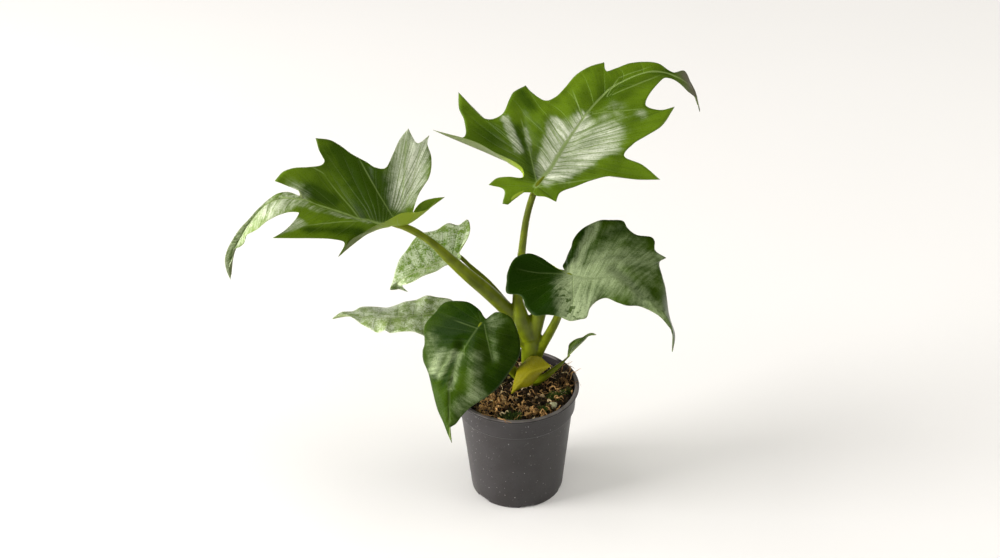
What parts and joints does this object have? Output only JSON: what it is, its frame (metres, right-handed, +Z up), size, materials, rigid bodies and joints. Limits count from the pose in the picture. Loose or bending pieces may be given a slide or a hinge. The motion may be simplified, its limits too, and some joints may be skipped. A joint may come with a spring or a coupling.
{
  "type": "potted philodendron",
  "caption": "Young potted philodendron with large deeply lobed glossy leaves on long petioles, in a plain round plastic nursery pot with a rolled rim.",
  "frame": {"origin": "centre of the pot's underside, on the ground plane", "axes": "+Z up out of the pot, -Y towards the side that the picture shows, +X to the right of it"},
  "size_m": [0.4442, 0.2802, 0.3696],
  "materials": {
    "pot": "dark grey polypropylene with a dull sheen and some scuffs",
    "soil": "rough brown potting mix with coir and dead moss",
    "stone": "rough pale chip with a green tinge",
    "stem": "smooth waxy yellow-green stem and petioles",
    "leaf_bright": "glossy bright green blade",
    "leaf_deep": "glossy deep green blade",
    "leaf_silvery": "blade with a silvery bloom",
    "leaf_yellow": "fading yellow blade"
  },
  "bodies": {
    "root": {"pot": "pot", "soil": "soil", "stone": "stone", "stem": "stem", "leaf_upper_right": "leaf_bright", "leaf_left": "leaf_bright", "leaf_back_left": "leaf_silvery", "leaf_low_left": "leaf_silvery", "leaf_front": "leaf_deep", "leaf_right": "leaf_deep", "leaf_yellow": "leaf_yellow", "leaf_side_shoot": "leaf_bright"}
  },
  "joints": []
}
